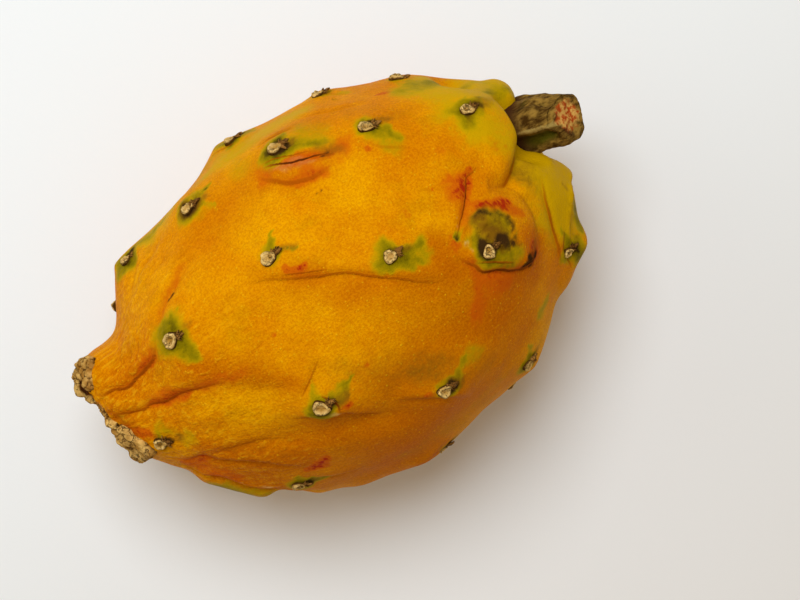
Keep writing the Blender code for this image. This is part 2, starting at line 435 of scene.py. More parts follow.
def cork_material(name, light, dark, deep, crack_mm):
    """Dry cork: tone varies from lump to lump and is dark in cracks; pale where proud is painted light,
    and brown in crevices is painted shade.
    """
    n = Nodes(name)
    fine = n.noise(0.35, 4, 0.65)
    crooked = n.warped(0.5 * crack_mm, 0.45 * crack_mm)
    crack = n.remap(n.cells(crack_mm, crooked, "DISTANCE_TO_EDGE"), 0, 0.12, 1, 0)
    crack = n.times(crack, n.remap(n.noise(1.1, 2), 0.38, 0.6))
    # Tone from the tone attribute: random on the scales and crust lumps, painted light by height on the
    # cushions, painted shade in the crust's gaps
    colour = n.mix(n.attribute("tone"), dark, light)
    colour = n.mix(n.remap(n.noise(0.9), 0.35, 0.7, 0, 0.5), colour, dark)
    # Painted shade in crevices, from the hollow attribute
    hollow = n.plus(n.attribute("hollow"), n.swing(fine, 0.5))
    colour = n.mix(n.remap(hollow, 0.25, 0.85), colour, deep)
    colour = n.mix(n.times(crack, 0.8), colour, deep)
    relief = n.bump(crack, -0.2, 1, n.bump(fine, 0.25))
    rough = n.remap(fine, 0, 1, 0.75, 0.95)
    return n.set(Base_Color=colour, Roughness=rough, Normal=relief, Specular_IOR_Level=0.04)


def bark_material():
    """Stem: brown bark, green in its hollow side, and fibrous flesh where it was cut."""
    n = Nodes("stem_bark")
    streak = n.noise(1.1, 4, 0.65, (0.35, 1, 1))
    fine = n.noise(0.4, 3, 0.6)
    colour = n.mix(n.remap(streak, 0.35, 0.68), (0.058, 0.024, 0.002), (0.33, 0.185, 0.03))
    colour = n.mix(n.remap(n.noise(2.6), 0.55, 0.75, 0, 0.55), colour, (0.075, 0.06, 0.006))
    colour = n.mix(n.remap(n.attribute("green"), 0.15, 0.85), colour, (0.085, 0.073, 0.003))
    # Darker towards the root, painted shade where the stem sits down in the pit, and along one side of the
    # cut's rim
    colour = n.mix(n.remap(n.attribute("dark"), 0.15, 0.85), colour, (0.055, 0.018, 0.005))
    pale = n.plus(n.attribute("pale"), n.swing(fine, 0.8))
    colour = n.mix(n.remap(pale, 0.35, 0.8), colour, (0.4, 0.27, 0.07))
    flesh = n.mix(n.remap(n.noise(0.8), 0.4, 0.62), (0.42, 0.06, 0.006), (0.66, 0.36, 0.08))
    cut = n.plus(n.attribute("cut"), n.swing(n.noise(0.9), 0.7))
    colour = n.mix(n.remap(cut, 0.35, 0.7), colour, flesh)
    relief = n.bump(streak, 0.5, 0.8, n.bump(fine, 0.2, 0.7))
    rough = n.remap(fine, 0, 1, 0.62, 0.92)
    return n.set(Base_Color=colour, Roughness=rough, Normal=relief, Specular_IOR_Level=0.04)


def floor_material():
    """Matt white board, darker and warmer towards the near edge: painted light falloff."""
    n = Nodes("pale_floor")
    across = n.add("SeparateXYZ", {0: n.place()}, "Y")
    # Painted light falloff: the board darkens and warms towards the near edge
    away = n.remap(n.plus(across, n.times(n.noise(60, 2), 0.02)), -0.16, 0.1)
    colour = n.mix(away, (0.8, 0.77, 0.73), (0.885, 0.925, 0.935))
    relief = n.bump(n.noise(1.2), 0.05, 0.3)
    return n.set(Base_Color=colour, Roughness=0.9, Normal=relief, Specular_IOR_Level=0.1)


# ------------------------------------ folds, creases and stains

# Folds, by place. Each starts with its group of lines, of which a point keeps only the nearest.
# Then come how deep its groove is and how wide, how much its left side stands above its right and
# how far back that lip reaches, how dark its line and the painted shade along it are, how wide the line
# is, and the points of its path.
FOLDS = {
    "across the middle": """
a 0.25 0.8 0.75 6 0.38 0.3  -12 9 57  -9 8 58  -5 5.5 59  -0.5 3 59  3.5 1 59  6.5 -1.5 59  10.5 -5 59
  13 -7 58  17 -9.5 56
b 0.1 0.4 0 1 0.4 0.18  -6 7 59  -3.5 5.5 59  -0.5 4 59  1.5 3.2 59
""",
    "from the rim of the flower end": """
a 0.65 0.9 0.8 5 0.62 0.34  -46 7.5 39  -45 7.5 40  -43 7.5 41  -40.5 6.5 43  -38.5 7 44  -36 7 45
  -33 8 48  -31.5 9.5 49  -30.5 10.5 49
b 0.5 1.6 0.5 5 0.12 0.5  -31.5 9.5 49  -29 12 49  -27 14.5 49  -25 15.5 49  -22.5 16.5 49  -20 18 49
  -16.5 18.5 50
b 0.6 1.1 0.8 5 0.5 0.32  -46 4 39  -44.5 3.5 40  -42.5 2.5 42  -40 1.5 43  -38 1.5 44  -35.5 0.5 46
  -32.5 0 49  -28.5 -1 51  -25 -2.5 53
a 0.8 3.2 0 5 0 0.5  -32 -11 46  -27 -14 48  -14 -20 52  -3 -24.5 50  5 -28 47
a 0.35 2.5 0.6 7 0 0.5  -32 0 49  -25 -3 53  -18 -7.5 55  -10 -11 56
""",
    "pleats that run down to the floor side": """
a 0.45 0.8 0.9 4 0.5 0.3  -39.5 -9 39  -38.5 -10 40  -36 -11 42  -34 -12.5 42  -31.5 -15 43  -28 -17.5 44
  -24.5 -20.5 44  -21 -23 43
b 0.2 1.2 0.4 4 0.18 0.35  -36 -10.5 42  -31.5 -12 45  -28 -13.5 47  -24 -15.5 49  -20 -18 49
b 0.6 0.7 1.3 2.5 0.5 0.3  -40.5 -9 37  -38 -13.5 36  -35.5 -15.5 37  -33.5 -18 36  -31.5 -21 36
  -28.5 -24 36  -26.5 -26 36
""",
    "the scar under a cushion, with a swollen lens below it": """
a 0.4 0.8 0.8 2.4 1 0.2  1.5 24.5 50.5  2.5 24 51  4 23 52  6.5 21.5 52  9 21 52  10.5 20 52  13 19 53
b 0.25 0.4 0.2 1 0.5 0.2  1 25.5 50  4 24 51  7 22.8 51.5  10 21.7 51.5
b 0.4 0.9 0.6 2.5 0.5 0.4  0 23.5 50  1.5 22 52  4 19.5 54  6.5 18 54  8.5 17.5 54  11 17.5 54
""",
    "round the lower cushions": """
a 0.3 0.5 0.9 4 0.55 0.24  -18.5 -14.5 53  -17.5 -15 53  -15.5 -16 54  -13 -18 54  -10.5 -19 54  -9 -20 53
  -5.5 -22.5 51
b 0.2 0.6 0.3 2 0.35 0.22  -15 -13 56  -14.5 -12 56  -12.5 -10.5 57  -10.5 -9.5 57  -8.5 -8 58
b 0.15 0.4 0.2 1 0.8 0.25  -11.8 -13.5 57  -10.5 -16 56  -11 -18.3 55
b 0.3 0.9 0.9 4 0.25 0.4  -2 -21.5 52  -1 -22.5 52  1.5 -24 51  4.5 -26 51  6.5 -27.5 50  9 -29.5 45
""",
    "the plate of the damaged cushion": """
a 0.6 0.7 0.9 3 0.8 0.32  20.5 -7.5 56.5  21 -8.5 56  22 -10 55  22.5 -11.5 54  25 -13 53  27 -14.5 51
  29 -15 48  31 -15 47  32 -14.5 46
b 0.2 0.5 0.5 3 0.2 0.3  26 -3 56  25.5 -3.5 56  24 -6 56  22 -8.5 56
b 0.25 0.45 0.2 1.5 0.55 0.25  22.5 -9.5 55  25 -11.5 54  28 -13 51.5
a 0.35 0.7 -0.5 3 0.65 0.2  32 4.2 51.5  31 3.5 52  29.5 3.5 53  28.5 2.5 53  27.5 1 54  25.5 -1 55
  24 -2.5 56  22 -4.5 56
""",
    "between the lobes round the stem": """
b 2.2 1.7 -1.1 4 0.35 0.6  42 3.4 40  40 2 44  39 0.5 46  37 -1 48  35.5 -1.5 49  34 -1 50  31.5 0.5 51
a 0.7 1.7 -0.8 4 0.22 0.6  35.5 -1 49  35.5 -3.5 48  36 -5 48  36 -8 47  35 -10.5 46  33.5 -14.5 45
b 0.5 0.8 0.3 3 0.55 0.3  40.5 -3.5 43  40 -5.5 43  39.5 -8 43  38 -11.5 42  37 -15 40  35.5 -19 37
a 0.4 0.6 0.4 3 0.6 0.25  36.5 -20 34  37 -19 35  37.5 -16.5 38  38.5 -15 39  39 -13.5 39.5
a -0.5 0.7 -0.6 2.5 0 0.3  46.5 -5 31  46 -6 32  44 -8 36  41.5 -11.5 38  40 -14.5 38  38.5 -17 37.5
""",
    "fine ones on the far side and the near edge": """
b 0.15 0.7 0.3 3 0.25 0.35  16.5 19.5 52  18 18.5 52  19.5 16 53  22 14.5 53  25.5 12.5 53
a 0.3 0.5 0.8 2 0.9 0.3  -7 -33 32  -5 -33.5 32  -3 -34 32  -1 -34.5 32  1 -34.5 31
b 0.2 0.5 0.4 1.5 0.5 0.22  -4 -33.8 33  -3 -34 33  -0.5 -34 34  2.5 -34 34
b 0.3 0.7 0.6 2.5 0.3 0.35  -22 -25.5 39  -21 -26 39  -19 -27.5 39  -16.5 -28 39  -14 -29 39
a 0.35 1.2 0.5 4 0.12 0.4  -28 27 34  -28 26.5 35  -27 24 38  -29 21.5 40  -31.5 18 41
b 0.3 1 0.4 4 0.12 0.4  -20 25 42  -21 24.5 42  -23.5 23 42  -26.5 21.5 41  -30 18.5 42
a 0.2 0.6 0.3 2 0.4 0.25  2.5 28.3 45.5  3.5 28 46  6 28 47  10 27 46
b 0.2 0.8 0.3 3 0.2 0.35  10 29 42.5  11.5 28.5 43  15 27.5 44  18.5 26 45  23 23.5 45
a 0.25 0.8 0.4 3 0.2 0.35  14.5 32 33  15.5 31.5 34  18.5 30 36  21.5 27.5 39
b 0.2 0.7 0.3 2 0.35 0.3  -6 33.2 34  -4.5 33 35  -2.5 32.5 36  0.5 31.5 37
""",
}

# Folds of the hidden side, with the same numbers: a crescent by each tubercle, and long pleats at
# these turns in degrees
CRESCENT = "a", 0.25, 0.9, 0.55, 3, 0.3, 0.3
PLEAT, PLEAT_TURNS = ("b", 0.45, 1.6, 0.5, 5, 0.2, 0.35), (100, 128, 163, 197, 236, 262)

# Low swellings of the skin: their two ends, radius, and height
SWELLINGS = [
    ((-37, -15, 33), (-32, -22, 32), 3.4, 1.5),  # flap beneath the pleats
    ((3.5, 22, 52), (9.5, 19, 53.5), 1.9, 0.8),  # lens under the scar
    ((38, 7, 46), (40, 9, 44), 6, 0.8),  # lobe over the stem
    ((30, -4, 52), (31, -10, 50), 6, 0.7),  # plate of the damaged cushion
    ((42, -3, 41), (42, -7, 39), 4, 0.7),  # lobe beside the stem
    ((-43, 12, 37), (-42, 12, 38), 3.6, 0.9),  # knob on the rim
    ((37.8, 20.5, 33), (38.5, 18.5, 37), 2.8, -2.4),  # dip behind the stem
    ((45, 14, 31), (45.5, 11.5, 34), 3, 1.2),  # lobe behind the stem
    ((44, 9, 38.5), (43, 2, 40), 3.4, -3.1),  # where the lobe falls away to the stem
    ((45, 0, 36), (46.5, -4, 33), 3, 1),  # lobe below the stem
    ((35.7, -20.6, 31), (40.5, -17.5, 32), 4, 1.5),
    ((-30, -27, 30.5), (-27, -28, 30), 3.6, -2),
    ((-7, -33, 30), (-14, -32, 28), 5, 1.2),
    ((-47, 8, 35), (-47, 5, 36), 2, -1.2),  # notch in the rim
    ((25.5, -6, 55.5), (28.5, -8, 54), 2, -0.5),  # sunken patch
]

# Crumpled places: their two ends, radius, and height of the crumples
CRUMPLES = [
    ((27.5, -4.5, 54.5), (26.5, -9.5, 54), 2.6, 0.38),
    ((29.5, -14, 48.5), (32, -14.5, 47), 1.1, 0.4),
    ((43.5, -9, 36.5), (40.5, -15.5, 35.5), 2.0, 0.25),
]

# Stains and painted shade, by kind: the warm rows are partly the skin's deeper orange and mostly painted
# shade in valleys and on the shaded near side, and the broad faint brown rows are painted shade too.
# Each row: the two ends, radius, and strength.
STAINS_AND_SHADE = {
    "warm": """
-42.5 6 41.5 -36 8 44 3 0.3
-14 20 49 0 25 49 6 0.55
-34 -22 36 -5 -32 38 6 0.7
-38 -11 39 -28 -20 40 3 0.6
-5 -30 44 24 -27 43 6 0.6
-28 2.5 51.5 -14 -8 55.5 3 0.7
-38 -3 44 -30 -8 48 3 0.4
43.5 -8 37 40.5 -13.5 37.5 3.2 0.85
40 -7 42 38.5 -12 41.5 2.2 0.55
-20 -20 50 0 -27 49 6 0.6
1 -19 54 18 -17 53 6 0.7
20 -20 50 32 -14 47 5 0.8
2 -3 58 16 -10 57 4 0.45
18.5 -3 57 19.5 -9 56 2.6 0.75
30.5 -10 49.5 31 -17 44 2.6 0.6
-34 -11 44.5 -21 -21 45.5 3.2 0.8
-44.5 4.5 39.5 -43.5 -1 40 2.4 0.7
-5 4 59 3 -2 59.5 2.6 0.4
""",
    "lime": """
-24 26 37 -14 28 40 2.4 0.6
-8 30 40 12 29 40 3.2 0.65
34.5 11 48.5 36.5 8.5 48 1.8 0.7
41 -1.5 42.5 44 -5 36.5 5 1
38 6 47 34 14 48 4.5 0.55
30 22 42 40 14 42 4 0.7
36 22 36 44 14 34 4 0.8
37 -10 44 41 -14 36 4 0.6
""",
    "red": """
27 -4.5 55 29 -8 53.5 2.4 0.35
28 -1.5 54.5 25.5 -3.5 56 1.3 0.3
-35.5 7 46 -32 8.5 49 1.1 0.6
-29 12 49.5 -20.5 18 49 1.3 0.35
-38 1.5 44.5 -31.5 -0.5 49.5 1.3 0.6
-28.5 -0.5 51 -21 -3.5 54.5 1.8 0.35
-44 0.5 40.5 -42 -2.5 41.5 0.9 0.7
6 19.5 53.5 10 17.5 54 1.3 0.45
2.5 25 50 0 22.5 51 1.4 0.35
13.5 20 52 15 19 52.5 2 0.5
3 24 51 11 18.5 53.5 2.6 0.22
17 17 53.5 18 17 53 0.6 0.7
27 4 54 28.5 2.5 53.5 1.2 0.95
26.5 3.5 54.3 29.5 3 53 0.6 0.9
29.5 3 53 31 3.5 52 0.5 0.9
26 2.5 54.5 27 1 54.5 1.6 0.55
29 -2 54 32 -4 51.5 0.95 1
29.5 -3 53.5 31.5 -4 52 0.8 1
31.5 -5 51.5 33 -7 49.5 0.8 0.5
31.5 -12.5 48.5 32 -14.5 46.5 1.3 1
21.5 -9 55.5 22.5 -10.5 55 0.9 0.8
22 -12 54 25.5 -15.5 50.5 2.2 0.55
20 -14 53.5 17.5 -17.5 52 1.4 0.5
21.5 -4 57 21.5 -5.5 56.5 1.4 0.6
17.5 4.5 57.5 17.5 4 57.5 1.1 0.35
23 5 55.5 23 4.5 55.5 0.4 0.6
28 10 52 28 9.5 52.5 1.4 0.3
36 5.5 48.5 38 4 47 0.6 0.6
-5 7 59 -2 5.5 59 0.4 1
-2.5 -13.5 57 -2.5 -14 57 0.4 1
-13.5 -0.5 57 -13.5 -1 57 0.6 0.5
-9 -17 55.5 -8 -17.5 55 0.5 1
2.5 -24 51.5 4 -25 51.5 0.4 0.8
-20.5 -24 42.5 -17.5 -23.5 45 1.2 1
-37 -11 40.5 -35.5 -12 41.5 0.7 0.8
25 24.5 42 26.5 23.5 42.5 0.4 0.7
-39 -10 38.5 -33 -17 37.5 2.2 0.45
""",
    "green": """
28.5 22.5 42 34 21 39.5 2.2 0.5
31 23.5 38 32 22 39.5 0.7 0.7
-3.5 34 33 4 32 36 0.9 0.5
14 31.5 34 21.5 28 38 0.7 0.35
32 23 38 36.5 19.5 38.5 0.9 0.6
41.5 15 39 45.5 11.5 31.5 1.1 0.6
-24 26.5 36.5 -18 27.5 38.5 1.1 0.5
-2.5 28 45 -1.5 26 47.5 2.3 0.25
10.1 25.6 46.5 12.7 21.3 50.5 2.4 0.3
-26 27 34.5 -19 30 35.5 1.8 0.22
-10 32 35.5 -4 33 35 1.6 0.25
21.5 15.5 53 22.5 15 53 2.2 0.3
-35.5 -7 44.5 -36.5 -7.5 43 1.8 0.28
-38 -3 44 -38.5 -4 43.5 1.3 0.35
12.5 -22.5 51 14.5 -22.5 50 1.6 0.3
-6.5 -31 38.5 15 -30 40 2.6 0.14
-37 -17 33 -27 -27 30.5 2 0.6
30.5 -22 38 27 -25 38.5 1.1 0.45
38.5 20 34 45 13 33 1.3 0.5
45 -9.5 33.5 41.5 -16 34 1.1 0.75
39.5 -17 36 39 -18.5 33.5 1.4 0.9
27.5 -4.5 54.5 30 -6.5 53 2 0.6
25 -7.5 55.5 28 -11.5 52.5 2.3 0.65
22.5 -3.5 56.5 22.5 -4 56.5 0.9 0.9
17 -2 58.5 15 -4.5 58.5 1.4 0.5
""",
    "brown": """
27.5 -4.5 55 27.5 -9.5 53.5 2.5 0.75
29 -14 49 33 -12.5 47 1.3 0.5
11 21 51.5 14 19 52.5 1.6 0.5
43 -7.5 38 40 -15 36.5 0.8 0.45
44 8 39 41 0 43 1.6 0.4
36 12 48 41.5 12.5 43 1.3 0.4
-7 -12 57 6 -20 53 3.5 0.3
4 -19 53.5 14 -25 46.5 3.5 0.32
-31 -13 45.5 -22 -20 46 2.6 0.3
-44 3 40 -43.5 -1 40 1.5 0.35
39 0.5 45 38 -4 45.5 1.9 0.5
8 26.5 45 26 18 48.5 3.6 0.26
""",
    "dark": """
9.5 20.5 52 12.5 19.5 53 0.5 0.7
6 15.5 55.5 6 15.5 55.5 0.35 1
7 15.5 55.5 7 15.5 55.5 0.35 1
-25 14.5 50 -24 15 50 0.35 1
12.5 13 56 13.5 13 55.5 0.3 0.5
9.5 9.5 57.5 9.5 9.5 57.5 0.3 0.5
5.5 6 59 5.5 6 59 0.3 0.5
18.5 28 39.5 17.5 27 42.5 0.5 0.45
28 -8.5 54 29.5 -10 52.5 0.9 0.9
28 -4 54 30.5 -5.5 52.5 0.9 0.5
26.5 -3.5 55.5 29.5 -4 53.5 0.9 0.5
25.5 -5.5 55.5 29.5 -7 53.5 1.3 0.25
29 -13.5 49.5 32 -14 47 0.9 0.8
24.5 -11.5 54.5 28 -13 51.5 0.7 0.4
22 -4 56.5 22.5 -4 56.5 0.7 0.9
31.5 -6 52 30.5 -8.5 52 0.5 0.7
30 -14.5 48 32.2 -14.8 46 0.75 1
39 -17.5 36 39 -18 35 0.4 0.9
38 12 46.5 39 10 46.5 0.4 0.4
25.5 -6.5 55.5 25.5 -8.5 55.5 0.5 0.6
""",
    "pale": """
-34 -17 37 -28 -23.5 37 0.35 0.7
3.5 22.5 52 8.8 19.8 53 0.9 0.3
-16 -15 54 -9.5 -18.5 54.5 0.3 0.6
23.8 -5.5 56 22.3 -8.5 56 0.3 0.6
24 -2 56 23 -3 56.3 0.3 0.7
""",
}

# Cushions of the upper side: place, turn of the long axis from the stem direction towards the
# left in degrees, length, width, and how dark its scale is. Those below get drawn values.
CUSHIONS = rows_of("""
-41 -5 41.5 -10 2.9 2.3 1
-28 8.5 52 10 3.3 2.8 1
-28.5 25.5 35.5 20 2.4 2 0.6
-13.5 26 46 25 2.6 2 1
-1 33 35.5 10 2.4 1.8 0.7
5 25.5 50 -5 2.9 2.3 1
16.5 31 34.5 0 2.3 1.8 0.7
20 20 51.5 -30 3.1 2.1 0.8
30 25.5 36 -10 2.9 2.1 0.3
36.5 13 47.5 -30 2.8 2.1 0.5
-6 10.5 58.5 0 3 2.5 0.9
11 -1 60 -20 2.8 2.4 0.8
25.5 -9 55 60 2.9 2.1 0.6
38 -17.5 36.5 -20 2.2 1.8 0.8
-13 -15.5 56 -35 3.4 2.5 1
6 -25 51.5 5 2.8 2.3 1
21 -30 35 0 2.6 2 0.8
-25 -25 37 -30 2.8 2 0.7
-0.5 -34.5 31.5 0 2 1.5 0.9
""", 7)
# The pair of tapering stains of a cushion below: length, half width, and degrees to each side
WING_LENGTH, WING_WIDTH, WING_SPREAD = 5.6, 1, 48

# Tapering marks that start under a cushion, by kind: green and red are the skin's colour, and dark
# and brown are painted shade cast by the cushion and its scale. Each row: the cushion's number above,
# heading from the stem direction towards the left in degrees, length, half width at its root,
# and strength.
WINGS = {
    "green": """
0 70 3.4 1.4 0.45
1 56 5.4 1.1 0.8
1 -66 6.2 2.7 0.95
2 25 4.5 2 0.95
2 -50 4 1.3 0.6
3 24 5.6 1.8 1
3 -35 5.5 1.5 0.6
4 15 4.8 1.2 0.9
4 150 4 1 0.8
5 -26 9 2 0.8
5 45 4.6 1.6 0.9
6 10 4 1.1 0.8
7 -52 6.6 1.5 0.95
7 -8 3.4 0.8 0.8
8 -10 3.4 1 0.6
8 -100 3.5 1.2 0.5
9 62 3.6 2.2 0.8
9 20 4.2 1.3 0.8
9 -40 4.5 1 0.4
10 58 5.4 1.15 1
10 -4 5.6 0.9 0.75
11 70 5.2 0.9 0.9
11 -14 6.6 1.5 0.9
11 -48 6.2 1.7 0.95
12 100 3.5 2 0.8
13 5 3.2 1.2 0.9
13 80 7 1 0.8
14 14 8.2 1.2 0.95
14 75 4.6 1.9 0.75
14 -25 3.6 1 0.7
15 20 7.4 1.2 0.95
15 -22 4.6 0.9 0.5
16 60 5.5 1.4 0.9
16 5 3.4 1.1 0.8
17 0 9.5 1.2 0.9
17 55 3.4 1.6 0.7
18 -10 4 1 0.6
""",
    "dark": """
0 -10 2.8 1.1 0.6
1 2 5.2 0.7 0.4
2 10 3.4 0.9 0.6
3 22 4.8 1.2 0.8
4 20 2.6 0.7 0.6
5 40 3.8 1.1 0.75
5 -18 4.5 0.7 0.5
6 5 2.6 0.8 0.6
7 -40 2.6 0.6 0.5
9 -12 4 0.6 0.35
10 12 2.8 0.7 0.6
11 -30 3.8 0.6 0.6
12 50 3 1.3 0.7
12 -30 3 1.2 0.75
13 -10 2.4 0.8 0.7
14 5 3.4 1 0.8
15 18 4 0.9 0.8
16 20 2.4 0.6 0.6
17 -5 5.5 0.8 0.7
18 0 3 0.7 0.8
""",
    "red": """
0 -25 3.2 1.3 0.7
""",
    "brown": """
3 175 3.2 1.5 0.7
3 -40 4 1.4 0.6
""",
}


LINE_GROUPS = "ab"
LINE_REACH, NO_LINE = 3.4, 3.5  # how far a crease's distance is kept, and what it is beyond


class Skin:
    """The finished skin: its points, outward directions, colour marks with painted shade among them, and
    distances to creases.
    """

    ROWS, COLUMNS = 296, 328
    TOP_CROWDING = 0.45  # how much closer together its columns are on the top

    def __init__(self):
        along = np.linspace(0, 1, self.ROWS + 2)[1:-1]
        turn = np.linspace(0, 2 * math.pi, self.COLUMNS, endpoint=False)
        turn = turn - self.TOP_CROWDING * np.sin(turn)
        grid = np.meshgrid(along, turn, indexing="ij")
        self.along = np.concatenate([[0], grid[0].ravel(), [1]])
        self.turn = np.concatenate([[0], grid[1].ravel(), [0]])
        self.points, self.out = bumpy_skin(self.along, self.turn)
        self.out[0], self.out[-1] = (-1, 0, 0), (1, 0, 0)
        self.faces = grid_faces(self.ROWS, self.COLUMNS)
        blank = np.zeros(len(self.points))
        self.stains_and_shade = {kind: blank.copy() for kind in STAINS_AND_SHADE}
        # Of each group: signed distance to the nearest crease, its width and its darkness
        self.lines = {group: [blank + NO_LINE, blank + 0.3, blank.copy()] for group in LINE_GROUPS}

    def at(self, along, angle):
        """Points of the finished surface between its own points."""
        row = np.clip(along * (self.ROWS + 1) - 1, 0, self.ROWS - 1.001)
        turns = np.append(self.turn[1 : self.COLUMNS + 1], 2 * math.pi)
        column = np.interp(angle % (2 * math.pi), turns, np.arange(self.COLUMNS + 1.0))
        grid = self.points[1:-1].reshape(self.ROWS, self.COLUMNS, 3)
        i, j = row.astype(int), column.astype(int) % self.COLUMNS
        k = (j + 1) % self.COLUMNS
        a, b = (row - i)[..., None], (column % 1)[..., None]
        near = grid[i, j] * (1 - b) + grid[i, k] * b
        return near * (1 - a) + (grid[i + 1, j] * (1 - b) + grid[i + 1, k] * b) * a

    def snap(self, place):
        """Index of the nearest point."""
        return int(np.argmin(((self.points - np.array(place)) ** 2).sum(1)))

    def refresh(self):
        """Outward directions of the surface as it is now."""
        faces = np.array([f if len(f) == 4 else (*f, f[2]) for f in self.faces])
        p = self.points[faces]
        across = np.cross(p[:, 2] - p[:, 0], p[:, 3] - p[:, 1])
        out = np.zeros_like(self.points)
        for k in range(4):
            np.add.at(out, faces[:, k], across)
        out = unit(out)
        if (out * self.out).sum() < 0:
            out = -out
        self.out = out

    def close_to(self, path, reach):
        """Indices of the points in a box round a path."""
        low, high = path.min(0) - reach, path.max(0) + reach
        return np.where(((self.points > low) & (self.points < high)).all(1))[0]

    def add_stain_and_shade(self, kind, close, amount):
        self.stains_and_shade[kind][close] = 1 - (1 - self.stains_and_shade[kind][close]) * (1 - amount)

    def lay_stain_and_shade(self, kind, start, end, radius, strength, taper=False):
        path = self.points[[self.snap(start), self.snap(end)]]
        close = self.close_to(path, 2.5 * radius + 2)
        distance, share, _ = near_path(self.ragged[close], path)
        radius = radius * (1.45 - 1.15 * share if taper else 0.98 + 0.5 * np.sin(np.pi * share))
        amount = strength * bell(distance / radius) * (1 - 0.35 * share if taper else 1)
        self.add_stain_and_shade(kind, close, amount)

    def fold(self, group, depth, width, lip, back, darkness, line_width, *path):
        path = smooth_line(self.points[[self.snap(p) for p in np.reshape(path, (-1, 3))]], 4)
        close = self.close_to(path, max(3 * width, 3.5 * back, 3))
        distance, share, side = near_path(self.points[close], path, self.out[close])
        ends = np.sin(np.pi * np.clip(share, 0, 1)) ** 0.6
        signed = distance * side
        push = -depth * bell(distance / width)
        if lip:
            raised = 0.5 * (1 + np.tanh(math.copysign(1, lip) * signed / (0.6 * width)))
            fall = np.exp(-distance / back)
            push = push + abs(lip) * (raised * fall - 0.4 * (1 - raised) * np.exp(-2 * distance / back))
        self.push[close] += push * ends
        # Painted shade along the crease: darker orange and red, the stronger the darker its line
        for kind, most, reach in (("warm", 0.8, 2.0), ("red", 0.55, 0.8)):
            strength = np.clip(most * darkness, 0, 0.8)
            self.add_stain_and_shade(kind, close, strength * bell(distance / reach) * ends)
        # Its dark line, partly painted shade in the groove
        gap, line, dark = self.lines[group]
        mine = (distance < LINE_REACH) & (distance < np.abs(gap[close]))
        index = close[mine]
        gap[index] = signed[mine]
        line[index] = line_width
        dark[index] = darkness * ends[mine] * step(distance[mine], 1.5, 1.0)

    def shape(self):
        """Raise and sink the surface."""
        p = self.points
        self.push = 0.32 * noise(p, 13, 1) + 0.12 * noise(p, 5, 2)
        # Long fine wrinkles that run out from the flower end, and finer ones everywhere
        round_about = np.stack([self.along * 12, 5 * np.cos(self.turn), 5 * np.sin(self.turn)], axis=1)
        wrinkle = noise(round_about, 0.55, 3) + 0.6 * noise(round_about * (1, 2.3, 2.3), 0.55, 4)
        self.push += 0.14 * wrinkle * (0.2 + step(self.along, 0.5, 0.1) * step(self.along, 0.04, 0.12))
        self.push += 0.05 * noise(p, 2.8, 13) + 0.035 * noise(p, 1.6, 5)
        for start, end, radius, height in SWELLINGS:
            path = p[[self.snap(start), self.snap(end)]]
            distance = near_path(p, path)[0]
            self.push += height * np.exp(-((distance / radius) ** 3))
        for start, end, radius, height in CRUMPLES:
            distance = near_path(p, p[[self.snap(start), self.snap(end)]])[0]
            self.push += height * (1 - 2 * np.abs(noise(p, 1.5, 12))) * bell(distance / radius)
        for group, numbers in re.findall("([ab])([^ab]+)", " ".join(FOLDS.values())):
            self.fold(group, *map(float, numbers.split()))
        # A crescent on the flower side of each hidden tubercle, and a few long pleats between them
        for along, angle, _ in UNDER_TUBERCLES:
            aside = np.array([-0.17, -0.09, 0, 0.09, 0.17])
            arc = bumpy_skin(along - 0.034 + 1.1 * aside**2, math.radians(angle) + aside)[0]
            self.fold(*CRESCENT, *arc)
        for angle in PLEAT_TURNS:
            k = np.arange(5)
            pleat = bumpy_skin(0.13 + 0.06 * k, np.radians(angle + 7 * np.sin(1.7 * k + angle)))[0]
            self.fold(*PLEAT, *pleat)
        self.points = p + self.out * self.push[:, None]
        self.points[:, 2] = np.maximum(self.points[:, 2], 0)
        self.refresh()
        # Where each point is looked up when colour marks and painted shade are laid, so that their edges
        # come out ragged
        p = self.points
        self.ragged = p + np.stack([noise(p, 2.6, k) for k in (6, 7, 8)], axis=1)
        self.ragged = self.ragged + 0.45 * np.stack([noise(p, 0.9, k) for k in (9, 10, 11)], axis=1)


# ------------------------------------ pieces

LOWEST = 0.02  # how far the cushions, scales and crust stay above the floor
SCALE_THICKNESS = 0.2


def cushion_places(skin):
    """Every cushion: index on the skin, turn, length, width, and how dark its scale is."""
    places = [(skin.snap(row[:3]), *row[3:]) for row in CUSHIONS]
    for along, angle, _ in UNDER_TUBERCLES:
        point = bumpy_skin(np.array(along), np.array(math.radians(angle)))[0]
        size = rng.uniform(0.9, 1.15)
        turn = rng.uniform(-35, 35)
        places.append((skin.snap(point), turn, 2.8 * size, 2.2 * size, rng.uniform(0.5, 1)))
    return places


def local_axes(skin, index, turn):
    """Unit directions on the skin: ahead towards the stem and turned left by an angle, left, out."""
    out = skin.out[index]
    ahead = unit(np.array([1.0, 0, 0]) - out * out[0])
    left = np.cross(out, ahead)
    c, s = math.cos(math.radians(turn)), math.sin(math.radians(turn))
    return c * ahead + s * left, c * left - s * ahead, out


